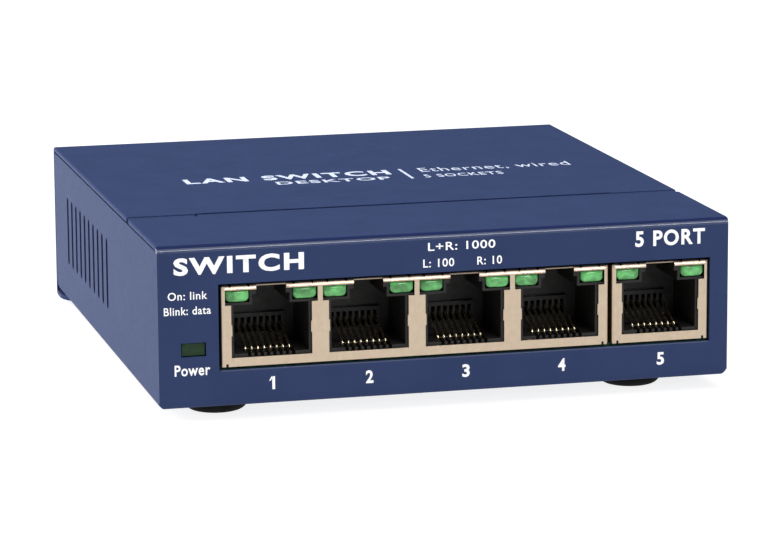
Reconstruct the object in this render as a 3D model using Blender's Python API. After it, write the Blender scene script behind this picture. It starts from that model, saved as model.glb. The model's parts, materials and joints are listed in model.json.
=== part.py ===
"""Five-port desktop network switch in a folded sheet-steel case.

Metres, +Z up. The origin is the middle of the footprint, on the surface that the feet rest on.
The jacks face -Y, and +X is to the right of someone who looks at them.
"""

import math

import bmesh
import bpy
from mathutils import Matrix, Vector

MM = 0.001

# The gap kept between pieces that rest on each other
PART_GAP = 0.1 * MM

# Case: a chassis (underside, sides, front and front strip) and a cover (lid, back wall and return flange).
CASE_DEPTH = 101 * MM
CASE_HEIGHT = 26.25 * MM
SHEET = 0.8 * MM
SEAM = 0.25 * MM
STRIP_DEPTH = 26.4 * MM
STRIP_END_RELIEF = 1.9 * MM
STRIP_END_WIDTH = 11.5 * MM
TAB_STEP = 0.2 * MM
FRONT_EDGE_INNER_BEND = 0.3 * MM
UNDERSIDE_INNER_BEND = 0.3 * MM
COVER_INNER_BEND = 0.2 * MM
LIP_ROUND = 0.35 * MM
CORNER_CHAMFER_WIDE = 0.7 * MM
CORNER_CHAMFER_TALL = 1.1 * MM
REAR_CORNER_CHAMFER = 1.8 * MM
RETURN_DEPTH = 9 * MM
RETURN_CORNER = 5 * MM
LEDGE_REACH = 4 * MM
LID_FLANGE_LENGTH = 16 * MM
LID_FLANGE_DROP = 5 * MM
LID_FLANGE_INSET = 8 * MM
LID_FLANGE_GAP = 0.3 * MM

# Side vents
VENT_COUNT = 10
VENT_PITCH = 4.45 * MM
VENT_WIDTH = 1.6 * MM
VENT_BOTTOM = 7.1 * MM
VENT_HEIGHT = 12.2 * MM
VENT_REAR_INSET = 14.8 * MM

# Feet
FOOT_CLEARANCE = 0.3 * MM
FOOT_RADIUS = 5.2 * MM
FOOT_ROUND = 1.5 * MM
FOOT_LEFT_INSET = 10.85 * MM
FOOT_RIGHT_INSET = 13.8 * MM
FOOT_END_INSET = 9.2 * MM

# Keyholes in the underside, to hang the case on two screws
KEYHOLE_SPACING = 50 * MM
KEYHOLE_HEAD_RADIUS = 3.75 * MM
KEYHOLE_SLOT_WIDTH = 3.8 * MM
KEYHOLE_SLOT_LENGTH = 7.5 * MM

# Circuit board
BOARD_GAP = 3.85 * MM
BOARD_THICKNESS = 1.6 * MM
BOARD_SIDE_CLEARANCE = 1.2 * MM
BOARD_FRONT_CLEARANCE = 0.6 * MM
BOARD_REAR_CLEARANCE = 3.7 * MM
BOSS_RADIUS = 2.6 * MM
BOSS_BORE = 1.6 * MM
BOARD_SCREW_SIDE_INSET = 6 * MM
BOARD_SCREW_REAR_INSET = 13 * MM

# Screws
SCREW_SHANK_RADIUS = 1.25 * MM
SCREW_HEAD_RADIUS = 2.5 * MM
SCREW_HEAD_HEIGHT = 1.4 * MM
FLAT_HEAD_HEIGHT = 0.75 * MM
COVER_SCREW_SPACING = 36 * MM
RECESS_LENGTH = 2.4 * MM
RECESS_WIDTH = 0.55 * MM

# Modular jacks. Heights are above the shield's lower edge.
PORT_PITCH = 15.79 * MM
GANGED_PORTS = 4
FIRST_PORT_INSET = 18.24 * MM
LAST_PORT_INSET = 11.44 * MM
SHIELD_MARGIN = 0.29 * MM
SHIELD_GAP = 0.58 * MM
SHIELD_RECESS = 0.2 * MM
SHIELD_SHEET = 0.25 * MM
SHIELD_HEIGHT = 13.2 * MM
SHIELD_DEPTH = 16.6 * MM
WINDOW_MARGIN = 0.4 * MM
WINDOW_MARGIN_RIGHT = 0.2 * MM
WINDOW_MARGIN_BELOW = 0.45 * MM
WINDOW_MARGIN_ABOVE = 0.2 * MM
POST_WIDTH = 2.8 * MM
LIGHT_WEB = 0.85 * MM
OPENING_BOTTOM = 1.4 * MM
LIGHT_WINDOW_HEIGHT = 2.4 * MM
SHIELD_BAND = 0.95 * MM
GROUND_TAB_REACH = 0.15 * MM
GROUND_TAB_BOTTOM = 4.9 * MM
GROUND_TAB_TOP = 6.7 * MM

# Plastic inserts of the jacks
INSERT_GAP = 0.15 * MM
CAVITY_WALL = 0.45 * MM
CAVITY_FLOOR = 1.95 * MM
CAVITY_DEPTH = 10.9 * MM
CAVITY_LIP = 0.05 * MM
LATCH_HALF = 3.0 * MM
LATCH_STEP = 1.55 * MM
LATCH_NARROW_HALF = 2.4 * MM
LATCH_CATCH_DEPTH = 1.4 * MM
LATCH_POCKET_BAND = 0.9 * MM
COMB_DEPTH = 2.0 * MM
COMB_TOP = 6.3 * MM
COMB_SLOT_TOP = 5.6 * MM
COMB_SLOT_BOTTOM = 3.1 * MM
COMB_SLOT_CLEARANCE = 0.1 * MM
COMB_BLOCK_REACH = 0.8 * MM
TROUGH_FLOOR = 1.05 * MM
TROUGH_FRONT = 1.6 * MM
LIP_SLOT_WIDTH = 0.52 * MM

# Contact springs
CONTACTS = 8
CONTACT_PITCH = 1.016 * MM
WIRE = 0.36 * MM
WIRE_BEND = 0.4 * MM
WIRE_SLOPE = math.radians(21)
WIRE_AXIS_DEPTH = 4.0 * MM
WIRE_AXIS_HEIGHT = 1.85 * MM
WIRE_REACH = 7.3 * MM
WIRE_TAIL = 0.9 * MM
CONTACT_BAR_RADIUS = 0.3 * MM
CONTACT_BAR_MARGIN = 0.45 * MM

# Lights
LIGHT_GAP = 0.12 * MM
LIGHT_LEDGE = 0.35 * MM
LIGHT_DEPTH = 4.5 * MM
LIGHT_RECESS = 0.15 * MM
LIGHT_ROUND = 0.5 * MM
POWER_LIGHT_INSET = 5.6 * MM
POWER_LIGHT_WIDTH = 4.0 * MM
POWER_LIGHT_HEIGHT = 2.25 * MM
POWER_LIGHT_BOTTOM = 8.35 * MM
POWER_LIGHT_GAP = 0.12 * MM
POWER_LIGHT_DEPTH = 3.4 * MM
POWER_LIGHT_LEG = 1.5 * MM
POWER_LIGHT_RECESS = 0.35 * MM

# Power socket
POWER_JACK_INSET = 18 * MM
POWER_JACK_WIDTH = 9 * MM
POWER_JACK_HEIGHT = 10.8 * MM
POWER_JACK_DEPTH = 13 * MM
POWER_JACK_AXIS = 6.5 * MM
POWER_NOSE_RADIUS = 4.1 * MM
POWER_NOSE_GAP = 0.3 * MM
POWER_BORE_RADIUS = 3.15 * MM
POWER_BORE_DEPTH = 9.5 * MM
POWER_PIN_RADIUS = 1.0 * MM
POWER_PIN_RECESS = 0.9 * MM
POWER_PIN_CLEARANCE = 0.15 * MM

# Lock slot in the back wall
LOCK_INSET = 16 * MM
LOCK_HEIGHT_ABOVE_UNDERSIDE = 13.25 * MM
LOCK_WIDTH = 7 * MM
LOCK_HEIGHT = 3 * MM

# Parts on the board
CHIP_SIZE = 14 * MM
CHIP_HEIGHT = 1.4 * MM
PAD_SIZE = 13 * MM
PAD_HEIGHT = 0.5 * MM
SINK_SIZE = 24 * MM
SINK_BASE = 2 * MM
SINK_HEIGHT = 8 * MM
SINK_FINS = 7
SINK_FIN_WIDTH = 1.2 * MM
TRANSFORMER_GAP = 2.6 * MM
TRANSFORMER_DEPTH = 9.5 * MM
TRANSFORMER_HEIGHT = 4.2 * MM
CAPACITOR_RADIUS = 4 * MM
CAPACITOR_HEIGHT = 11 * MM
CAPACITOR_ROUND = 0.6 * MM
CAPACITOR_SPACING = 10 * MM
INDUCTOR_SIZE = 7 * MM
INDUCTOR_HEIGHT = 3.6 * MM
CRYSTAL_LENGTH = 11 * MM
CRYSTAL_WIDTH = 4.6 * MM
CRYSTAL_HEIGHT = 3.5 * MM
REGULATOR_WIDTH = 6.5 * MM
REGULATOR_DEPTH = 6.1 * MM
REGULATOR_HEIGHT = 2.3 * MM
REAR_PARTS_INSET = 22 * MM

# Places that follow from the sizes above
TOP_BEND = SHEET + FRONT_EDGE_INNER_BEND
UNDERSIDE_BEND = SHEET + UNDERSIDE_INNER_BEND
COVER_BEND = SHEET + COVER_INNER_BEND
FOOT_HEIGHT = SEAM + SHEET + PART_GAP + FLAT_HEAD_HEIGHT + FOOT_CLEARANCE
LIGHT_WINDOW_TOP = SHIELD_HEIGHT - SHIELD_BAND
OPENING_SHOULDER = LIGHT_WINDOW_TOP - LIGHT_WINDOW_HEIGHT
CAVITY_CEILING = OPENING_SHOULDER - CAVITY_LIP
LATCH_TOP = OPENING_SHOULDER + LATCH_STEP
LATCH_POCKET_TOP = SHIELD_HEIGHT - LATCH_POCKET_BAND
SHIELD_HALF = PORT_PITCH / 2 + SHIELD_MARGIN
LAST_PORT_STEP = 2 * SHIELD_HALF + SHIELD_GAP
CASE_WIDTH = FIRST_PORT_INSET + (GANGED_PORTS - 1) * PORT_PITCH + LAST_PORT_STEP + LAST_PORT_INSET
LEFT = -CASE_WIDTH / 2
RIGHT = CASE_WIDTH / 2
FRONT = -CASE_DEPTH / 2
BACK = CASE_DEPTH / 2
UNDERSIDE = FOOT_HEIGHT
TOP = UNDERSIDE + CASE_HEIGHT
CHASSIS_BACK = BACK - SHEET - SEAM
SIDE_TOP = TOP - SHEET - SEAM
STRIP_BACK = FRONT + STRIP_DEPTH
LID_FRONT = STRIP_BACK + SEAM
COVER_BOTTOM = UNDERSIDE - SEAM - SHEET
RETURN_FRONT = BACK - RETURN_DEPTH
BOARD_BOTTOM = UNDERSIDE + SHEET + BOARD_GAP
BOARD_TOP = BOARD_BOTTOM + BOARD_THICKNESS
BOARD_FRONT = FRONT + SHEET + BOARD_FRONT_CLEARANCE
BOARD_BACK = BACK - SHEET - BOARD_REAR_CLEARANCE
JACK_BOTTOM = BOARD_TOP + PART_GAP
JACK_FRONT = FRONT + SHIELD_RECESS
JACK_BACK = JACK_FRONT + SHIELD_DEPTH
JACK_TOP = JACK_BOTTOM + SHIELD_HEIGHT
GANG_X = [LEFT + FIRST_PORT_INSET + i * PORT_PITCH for i in range(GANGED_PORTS)]
SINGLE_X = [GANG_X[-1] + LAST_PORT_STEP]
PORT_X = GANG_X + SINGLE_X
INSERT_FRONT = JACK_FRONT + SHIELD_SHEET + INSERT_GAP
INSERT_BACK = JACK_BACK - SHIELD_SHEET - INSERT_GAP
INSERT_HALF = SHIELD_HALF - SHIELD_SHEET - INSERT_GAP
INSERT_BOTTOM = JACK_BOTTOM + INSERT_GAP
INSERT_TOP = JACK_TOP - SHIELD_SHEET - INSERT_GAP
OPENING_HALF = (PORT_PITCH - POST_WIDTH) / 2
CAVITY_HALF = OPENING_HALF - CAVITY_WALL
CAVITY_BACK = INSERT_FRONT + CAVITY_DEPTH
LIGHT_OUTER = (PORT_PITCH - LIGHT_WEB) / 2
LIGHT_INNER = LATCH_HALF + CAVITY_WALL
CONTACT_HALF = (CONTACTS - 1) / 2 * CONTACT_PITCH
BAR_HALF = CONTACT_HALF + CONTACT_BAR_MARGIN
COMB_HALF = BAR_HALF + WIRE / 2
WIRE_AXIS_Y = JACK_FRONT + WIRE_AXIS_DEPTH
WIRE_AXIS_Z = JACK_BOTTOM + WIRE_AXIS_HEIGHT
POWER_LIGHT_X = LEFT + POWER_LIGHT_INSET
POWER_JACK_X = RIGHT - POWER_JACK_INSET
POWER_JACK_BACK = BACK - SHEET - POWER_NOSE_GAP
POWER_JACK_FRONT = POWER_JACK_BACK - POWER_JACK_DEPTH
POWER_JACK_Z = BOARD_TOP + PART_GAP + POWER_JACK_AXIS
SCREW_FRONT_Y = JACK_BACK + SCREW_HEAD_RADIUS + 3 * PART_GAP
TRANSFORMER_FRONT = SCREW_FRONT_Y + SCREW_HEAD_RADIUS + 3 * PART_GAP
REAR_PARTS_Y = BACK - REAR_PARTS_INSET
CHIP_Y = (TRANSFORMER_FRONT + TRANSFORMER_DEPTH + REAR_PARTS_Y - CAPACITOR_RADIUS) / 2

# How far a cutter passes beyond the face it cuts through
OUT = 1 * MM


def material(name, colour, metallic, roughness):
    made = bpy.data.materials.new(name)
    made.use_nodes = True
    shader = made.node_tree.nodes["Principled BSDF"]
    shader.inputs["Base Color"].default_value = (*colour, 1)
    shader.inputs["Metallic"].default_value = metallic
    shader.inputs["Roughness"].default_value = roughness
    made.diffuse_color = (*colour, 1)
    return made


def box(low, high):
    shape = bmesh.new()
    size = Vector(high) - Vector(low)
    middle = (Vector(low) + Vector(high)) / 2
    bmesh.ops.create_cube(shape, size=1, matrix=Matrix.Translation(middle) @ Matrix.Diagonal((*size, 1)))
    return shape


def rod(radius, start, end, sides=24):
    """A cylinder between two points."""
    shape = bmesh.new()
    along = Vector(end) - Vector(start)
    turn = along.to_track_quat("Z", "Y").to_matrix().to_4x4()
    bmesh.ops.create_cone(
        shape,
        cap_ends=True,
        segments=sides,
        radius1=radius,
        radius2=radius,
        depth=along.length,
        matrix=Matrix.Translation((Vector(start) + Vector(end)) / 2) @ turn,
    )
    return shape


def arc(centre, radius, start, end, steps):
    """Points round part of a circle, from one angle in degrees to the other."""
    points = []
    for i in range(steps + 1):
        angle = math.radians(start + (end - start) * i / steps)
        points.append((centre[0] + radius * math.cos(angle), centre[1] + radius * math.sin(angle)))
    return points


def rounded_outline(low, high, radii, steps=3):
    """A rectangle with a radius for each corner: low-low, high-low, high-high, low-high. 0 is a sharp one."""
    corners = [
        (low[0], low[1], 1, 1),
        (high[0], low[1], -1, 1),
        (high[0], high[1], -1, -1),
        (low[0], high[1], 1, -1),
    ]
    points = []
    for (x, y, inward_x, inward_y), radius, start in zip(corners, radii, (180, 270, 0, 90)):
        if radius:
            points += arc((x + inward_x * radius, y + inward_y * radius), radius, start, start + 90, steps)
        else:
            points.append((x, y))
    return points


def folded_outline(path, thickness, radius, steps=4):
    """A folded sheet seen edge on. The path is its outer face, and every fold in it turns to the right."""
    outer = [path[0]]
    inner = [offset(path[0], path[1], path[0], thickness)]
    for before, corner, after in zip(path, path[1:], path[2:]):
        came = (Vector(corner) - Vector(before)).normalized()
        goes = (Vector(after) - Vector(corner)).normalized()
        centre = Vector(corner) + (goes - came) * radius
        start = math.degrees(math.atan2(-goes.y, -goes.x))
        outer += arc(centre, radius, start, start - 90, steps)
        inner += arc(centre, radius - thickness, start, start - 90, steps)
    outer.append(path[-1])
    inner.append(offset(path[-2], path[-1], path[-1], thickness))
    return outer + inner[::-1]


def offset(start, end, point, distance):
    """A point moved to the right of the way from start to end."""
    along = (Vector(end) - Vector(start)).normalized()
    return (point[0] + along.y * distance, point[1] - along.x * distance)


def prism(outline, axis, start, end):
    """An outline carried along an axis: given as (y, z) along X, (x, z) along Y and (x, y) along Z."""
    across = "XYZ".index(axis)
    travel = Vector()
    travel[across] = end - start
    shape = bmesh.new()
    face = shape.faces.new([shape.verts.new((*pair[:across], start, *pair[across:])) for pair in outline])
    made = bmesh.ops.extrude_face_region(shape, geom=[face])["geom"]
    moved = [part for part in made if isinstance(part, bmesh.types.BMVert)]
    bmesh.ops.translate(shape, verts=moved, vec=travel)
    return shape


def rounded(shape, radius, segments, chosen):
    """Rounds the edges whose two ends are both chosen by their place."""
    edges = [edge for edge in shape.edges if all(chosen(vertex.co) for vertex in edge.verts)]
    bmesh.ops.bevel(
        shape, geom=edges, offset=radius, segments=segments, profile=0.5, affect="EDGES", material=-1
    )
    return shape


def place(name, shape, finish, origin=(0, 0, 0)):
    """Makes an object from a shape given in world places, with its own origin."""
    bmesh.ops.translate(shape, verts=shape.verts, vec=-Vector(origin))
    bmesh.ops.recalc_face_normals(shape, faces=shape.faces)
    mesh = bpy.data.meshes.new(name)
    shape.to_mesh(mesh)
    shape.free()
    if finish:
        mesh.materials.append(finish)
    made = bpy.data.objects.new(name, mesh)
    made.location = origin
    bpy.context.scene.collection.objects.link(made)
    return made


def block(name, low, high, finish):
    return place(name, box(low, high), finish, (Vector(low) + Vector(high)) / 2)


def shaped(host, operation, shapes):
    """Cuts away, joins on or keeps only what is shared with some shapes, as one Boolean."""
    group = bpy.data.collections.new(f"{host.name}_{operation.lower()}")
    bpy.context.scene.collection.children.link(group)
    for number, shape in enumerate(shapes):
        helper = place(f"{group.name}_{number}", shape, None)
        helper.hide_render = True
        helper.display_type = "WIRE"
        bpy.context.scene.collection.objects.unlink(helper)
        group.objects.link(helper)
    change = host.modifiers.new(operation.title(), "BOOLEAN")
    change.operation = operation
    change.solver = "EXACT"
    change.operand_type = "COLLECTION"
    change.collection = group
    return host


def settled(host):
    """Gives the object the mesh that its modifiers make, so that copies can share it."""
    mesh = bpy.data.meshes.new_from_object(host.evaluated_get(bpy.context.evaluated_depsgraph_get()))
    host.modifiers.clear()
    host.data = mesh
    return host


def copied(host, name, location):
    made = bpy.data.objects.new(name, host.data)
    made.location = location
    bpy.context.scene.collection.objects.link(made)
    return made


def smooth(host, angle=35):
    host.data.shade_smooth()
    host.data.set_sharp_from_angle(angle=math.radians(angle))
    return host


def both_sides(x, reach):
    """The two ends of a stretch that runs inwards from one side of the case, in rising order."""
    return sorted((x, x - math.copysign(reach, x)))


def bore(x, y, low, high):
    """An upright screw hole."""
    return rod(BOSS_BORE, (x, y, low), (x, y, high), 16)


def vent(side, y):
    """One upright slot with round ends, through a side."""
    half = VENT_WIDTH / 2
    low = UNDERSIDE + VENT_BOTTOM
    outline = arc((y, low + half), half, 180, 360, 4) + arc((y, low + VENT_HEIGHT - half), half, 0, 180, 4)
    return prism(outline, "X", *both_sides(side + math.copysign(OUT, side), SHEET + 2 * OUT))


def keyhole(x):
    """A round head hole that narrows to a slot towards the back, through the underside."""
    half = KEYHOLE_SLOT_WIDTH / 2
    start = math.degrees(math.asin(half / KEYHOLE_HEAD_RADIUS))
    outline = arc((x, 0), KEYHOLE_HEAD_RADIUS, 90 + start, 450 - start, 20)
    outline += arc((x, KEYHOLE_SLOT_LENGTH), half, 0, 180, 6)
    return prism(outline, "Z", UNDERSIDE - OUT, UNDERSIDE + SHEET + OUT)


def front_corner(side):
    """The bevelled lower corner of the front panel."""
    wide = side - math.copysign(CORNER_CHAMFER_WIDE, side)
    out = side + math.copysign(OUT, side)
    tall = UNDERSIDE + CORNER_CHAMFER_TALL
    low = UNDERSIDE - OUT
    outline = [(wide, UNDERSIDE), (wide, low), (out, low), (out, tall), (side, tall)]
    return prism(outline, "Y", FRONT - OUT, FRONT + UNDERSIDE_BEND)


def rear_corner(side):
    """The bevelled lower corner at the back of a side."""
    near = CHASSIS_BACK - REAR_CORNER_CHAMFER
    far = CHASSIS_BACK + OUT
    tall = UNDERSIDE + REAR_CORNER_CHAMFER
    low = UNDERSIDE - OUT
    outline = [(near, low), (far, low), (far, tall), (CHASSIS_BACK, tall), (near, UNDERSIDE)]
    return prism(outline, "X", *both_sides(side + math.copysign(OUT, side), UNDERSIDE_BEND + OUT))


def lid_cuts(side):
    """The end of the strip that is set back from the lid, and the seam between the strip and the side."""
    out = side + math.copysign(OUT, side)
    end = both_sides(out, STRIP_END_WIDTH + OUT)
    wall = both_sides(out, SHEET * 1.01 + OUT)
    relief = box((end[0], STRIP_BACK - STRIP_END_RELIEF, SIDE_TOP), (end[1], STRIP_BACK + OUT, TOP + OUT))
    seam = box((wall[0], FRONT + SHEET, SIDE_TOP), (wall[1], STRIP_BACK + OUT, SIDE_TOP + SEAM))
    return [relief, seam]


def build_chassis(paint, board_screws, cover_screws):
    profile = rounded_outline(
        (FRONT, UNDERSIDE), (CHASSIS_BACK, TOP), (TOP_BEND, 0, 0, TOP_BEND), steps=4
    )
    section = rounded_outline(
        (LEFT, UNDERSIDE), (RIGHT, TOP), (UNDERSIDE_BEND, UNDERSIDE_BEND, LIP_ROUND, LIP_ROUND)
    )
    inner_bend = UNDERSIDE_BEND - SHEET
    inside = rounded_outline(
        (LEFT + SHEET, UNDERSIDE + SHEET), (RIGHT - SHEET, TOP - SHEET), (inner_bend, inner_bend, 0, 0)
    )
    chassis = place("chassis", prism(profile, "X", LEFT, RIGHT), paint)
    shaped(chassis, "INTERSECT", [prism(section, "Y", FRONT - OUT, BACK + OUT)])
    shaped(chassis, "DIFFERENCE", [prism(inside, "Y", FRONT + SHEET, BACK + OUT)])

    cuts = [box((LEFT - OUT, STRIP_BACK, SIDE_TOP), (RIGHT + OUT, BACK + OUT, TOP + OUT))]
    for side in (LEFT, RIGHT):
        cuts += lid_cuts(side) + [front_corner(side), rear_corner(side)]
        cuts += [vent(side, BACK - VENT_REAR_INSET - i * VENT_PITCH) for i in range(VENT_COUNT)]
    cuts.append(
        box(
            (PORT_X[0] - SHIELD_HALF - WINDOW_MARGIN, FRONT - OUT, JACK_BOTTOM - WINDOW_MARGIN_BELOW),
            (PORT_X[-1] + SHIELD_HALF + WINDOW_MARGIN_RIGHT, FRONT + SHEET + OUT, JACK_TOP + WINDOW_MARGIN_ABOVE),
        )
    )
    light_low = UNDERSIDE + POWER_LIGHT_BOTTOM
    cuts.append(
        box(
            (POWER_LIGHT_X - POWER_LIGHT_WIDTH / 2, FRONT - OUT, light_low),
            (POWER_LIGHT_X + POWER_LIGHT_WIDTH / 2, FRONT + SHEET + OUT, light_low + POWER_LIGHT_HEIGHT),
        )
    )
    cuts += [keyhole(x) for x in (-KEYHOLE_SPACING / 2, KEYHOLE_SPACING / 2)]
    cuts += [bore(x, y, UNDERSIDE - OUT, UNDERSIDE + SHEET + OUT) for x, y in cover_screws]
    shaped(chassis, "DIFFERENCE", cuts)

    # The ledge under the joint of strip and lid, and the bosses that carry the board
    ledge_end = RIGHT - STRIP_END_WIDTH - 2 * SEAM
    ledge_low = TOP - 2 * SHEET - SEAM
    ledge_start = (-ledge_end, STRIP_BACK - LEDGE_REACH, ledge_low)
    step = box(ledge_start, (ledge_end, STRIP_BACK - SHEET, TOP - SHEET / 2))
    ledge = box(ledge_start, (ledge_end, STRIP_BACK + LEDGE_REACH, SIDE_TOP))
    boss_top = BOARD_BOTTOM - PART_GAP
    boss_low = UNDERSIDE + SHEET / 2
    bosses = [rod(BOSS_RADIUS, (x, y, boss_low), (x, y, boss_top), 20) for x, y in board_screws]
    shaped(chassis, "UNION", [step, ledge] + bosses)
    shaped(chassis, "DIFFERENCE", [bore(x, y, UNDERSIDE + SHEET, BOARD_TOP) for x, y in board_screws])
    return smooth(chassis)


def return_corner(side):
    """What is cut away to round a free corner of the cover's return flange."""
    inward = -math.copysign(1, side)
    centre = (side + inward * RETURN_CORNER, RETURN_FRONT + RETURN_CORNER)
    start, end = (180, 270) if side < 0 else (360, 270)
    out = side - inward * OUT
    low = RETURN_FRONT - OUT
    outline = arc(centre, RETURN_CORNER, start, end, 5)
    outline += [(centre[0], low), (out, low), (out, centre[1])]
    return prism(outline, "Z", COVER_BOTTOM - OUT, UNDERSIDE - SEAM / 2)


def build_cover(paint, cover_screws):
    path = [(LID_FRONT, TOP), (BACK, TOP), (BACK, COVER_BOTTOM), (RETURN_FRONT, COVER_BOTTOM)]
    section = rounded_outline((LEFT, COVER_BOTTOM - OUT), (RIGHT, TOP), (0, 0, LIP_ROUND, LIP_ROUND))
    cover = place("top_cover", prism(folded_outline(path, SHEET, COVER_BEND), "X", LEFT, RIGHT), paint)
    shaped(cover, "INTERSECT", [prism(section, "Y", LID_FRONT - OUT, BACK + OUT)])
    joined = []
    for side in (LEFT, RIGHT):
        tab = both_sides(side - math.copysign(SEAM, side), STRIP_END_WIDTH - 2 * SEAM)
        joined.append(
            box(
                (tab[0], STRIP_BACK - STRIP_END_RELIEF + SEAM, TOP - SHEET - TAB_STEP),
                (tab[1], LID_FRONT + SHEET, TOP - TAB_STEP),
            )
        )
        flange = both_sides(side - math.copysign(SHEET + LID_FLANGE_GAP, side), SHEET)
        first = LID_FRONT + LID_FLANGE_INSET
        second = BACK - LID_FLANGE_INSET - LID_FLANGE_LENGTH
        for start in (first, second):
            low = (flange[0], start, TOP - SHEET - LID_FLANGE_DROP)
            joined.append(box(low, (flange[1], start + LID_FLANGE_LENGTH, TOP - SHEET / 2)))
    shaped(cover, "UNION", joined)
    slot_z = UNDERSIDE + LOCK_HEIGHT_ABOVE_UNDERSIDE
    slot = rounded_outline(
        (LEFT + LOCK_INSET - LOCK_WIDTH / 2, slot_z - LOCK_HEIGHT / 2),
        (LEFT + LOCK_INSET + LOCK_WIDTH / 2, slot_z + LOCK_HEIGHT / 2),
        [LOCK_HEIGHT / 4] * 4,
    )
    hole = POWER_NOSE_RADIUS + POWER_NOSE_GAP
    inner = (POWER_JACK_X, BACK - SHEET - OUT, POWER_JACK_Z)
    inlet = rod(hole, inner, (POWER_JACK_X, BACK + OUT, POWER_JACK_Z), 32)
    cuts = [prism(slot, "Y", BACK - SHEET - OUT, BACK + OUT), inlet]
    cuts += [return_corner(side) for side in (LEFT, RIGHT)]
    cuts += [bore(x, y, COVER_BOTTOM - OUT, UNDERSIDE) for x, y in cover_screws]
    shaped(cover, "DIFFERENCE", cuts)
    return smooth(cover)


def build_foot(name, x, y, rubber):
    top = UNDERSIDE - PART_GAP
    shape = rounded(rod(FOOT_RADIUS, (x, y, 0), (x, y, top), 24), FOOT_ROUND, 3, lambda co: co.z < top / 2)
    return smooth(place(name, shape, rubber, (x, y, 0)))


def build_screw(name, place_at, head_height, shank_end, steel):
    """A screw whose head rests at the height given in its place, with its shank going on to shank_end."""
    x, y, seat = place_at
    up = math.copysign(1, seat - shank_end)
    head = (x, y, seat + up * PART_GAP)
    face = seat + up * (PART_GAP + head_height)
    floor = face - up * head_height / 2
    screw = place(name, rod(SCREW_HEAD_RADIUS, head, (x, y, face), 20), steel, place_at)
    shaped(screw, "UNION", [rod(SCREW_SHANK_RADIUS, (x, y, seat + up * PART_GAP * 2), (x, y, shank_end), 12)])
    arms = []
    for wide, long in ((RECESS_WIDTH, RECESS_LENGTH), (RECESS_LENGTH, RECESS_WIDTH)):
        low, high = sorted((floor, face + up * OUT))
        arms.append(box((x - wide / 2, y - long / 2, low), (x + wide / 2, y + long / 2, high)))
    shaped(screw, "DIFFERENCE", arms)
    return smooth(settled(screw))


def build_board(green, board_screws):
    low = (LEFT + SHEET + BOARD_SIDE_CLEARANCE, BOARD_FRONT, BOARD_BOTTOM)
    high = (RIGHT - SHEET - BOARD_SIDE_CLEARANCE, BOARD_BACK, BOARD_TOP)
    board = block("circuit_board", low, high, green)
    holes = [bore(x, y, BOARD_BOTTOM - OUT, BOARD_TOP + OUT) for x, y in board_screws]
    return shaped(board, "DIFFERENCE", holes)


def build_shield(name, centres, plating):
    """A folded shield over one or more ports, open underneath."""
    left = centres[0] - SHIELD_HALF
    right = centres[-1] + SHIELD_HALF
    shield = block(name, (left, JACK_FRONT, JACK_BOTTOM), (right, JACK_BACK, JACK_TOP), plating)
    cuts = [
        box(
            (left + SHIELD_SHEET, JACK_FRONT + SHIELD_SHEET, JACK_BOTTOM - OUT),
            (right - SHIELD_SHEET, JACK_BACK - SHIELD_SHEET, JACK_TOP - SHIELD_SHEET),
        )
    ]
    shoulder = JACK_BOTTOM + OPENING_SHOULDER
    light_top = JACK_BOTTOM + LIGHT_WINDOW_TOP
    near = JACK_FRONT - OUT
    far = JACK_FRONT + 2 * SHIELD_SHEET
    overlap = SHIELD_SHEET / 2
    tabs = []
    for x in centres:
        opening_low = (x - OPENING_HALF, near, JACK_BOTTOM + OPENING_BOTTOM)
        cuts.append(box(opening_low, (x + OPENING_HALF, far, shoulder + overlap)))
        cuts.append(box((x - LIGHT_OUTER, near, shoulder), (x + LIGHT_OUTER, far, light_top)))
        notch_low = (x - LATCH_NARROW_HALF, near, light_top - overlap)
        cuts.append(box(notch_low, (x + LATCH_NARROW_HALF, far, JACK_TOP - SHIELD_SHEET)))
        for way in (-1, 1):
            ends = sorted((x + way * (OPENING_HALF - GROUND_TAB_REACH), x + way * (OPENING_HALF + overlap)))
            low = (ends[0], JACK_FRONT + SHIELD_SHEET / 5, JACK_BOTTOM + GROUND_TAB_BOTTOM)
            high = (ends[1], JACK_FRONT + SHIELD_SHEET * 4 / 5, JACK_BOTTOM + GROUND_TAB_TOP)
            tabs.append(box(low, high))
    shaped(shield, "DIFFERENCE", cuts)
    return shaped(shield, "UNION", tabs)


def cavity_cuts(x):
    """The plug's way in, the latch's channel and catches, the light pockets and the contacts' trough."""
    near = INSERT_FRONT - OUT
    floor = JACK_BOTTOM + CAVITY_FLOOR
    ceiling = JACK_BOTTOM + CAVITY_CEILING
    latch = JACK_BOTTOM + LATCH_TOP
    ledge = JACK_BOTTOM + OPENING_SHOULDER + LIGHT_LEDGE
    narrow_low = (x - LATCH_NARROW_HALF, near, latch - PART_GAP)
    cuts = [
        box((x - CAVITY_HALF, near, floor), (x + CAVITY_HALF, CAVITY_BACK, ceiling)),
        box((x - LATCH_HALF, near, ceiling - PART_GAP), (x + LATCH_HALF, CAVITY_BACK, latch)),
        box(narrow_low, (x + LATCH_NARROW_HALF, CAVITY_BACK, INSERT_TOP + OUT)),
        box(
            (x - LATCH_HALF, INSERT_FRONT + LATCH_CATCH_DEPTH, latch - PART_GAP),
            (x + LATCH_HALF, CAVITY_BACK, JACK_BOTTOM + LATCH_POCKET_TOP),
        ),
        box(
            (x - COMB_HALF, INSERT_FRONT + TROUGH_FRONT, JACK_BOTTOM + TROUGH_FLOOR),
            (x + COMB_HALF, CAVITY_BACK, floor + PART_GAP),
        ),
    ]
    for way in (-1, 1):
        ends = sorted((x + way * LIGHT_INNER, x + way * (LIGHT_OUTER + LIGHT_GAP)))
        high = (ends[1], INSERT_FRONT + LIGHT_DEPTH, JACK_BOTTOM + LIGHT_WINDOW_TOP)
        cuts.append(box((ends[0], near, ledge), high))
    return cuts


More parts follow.
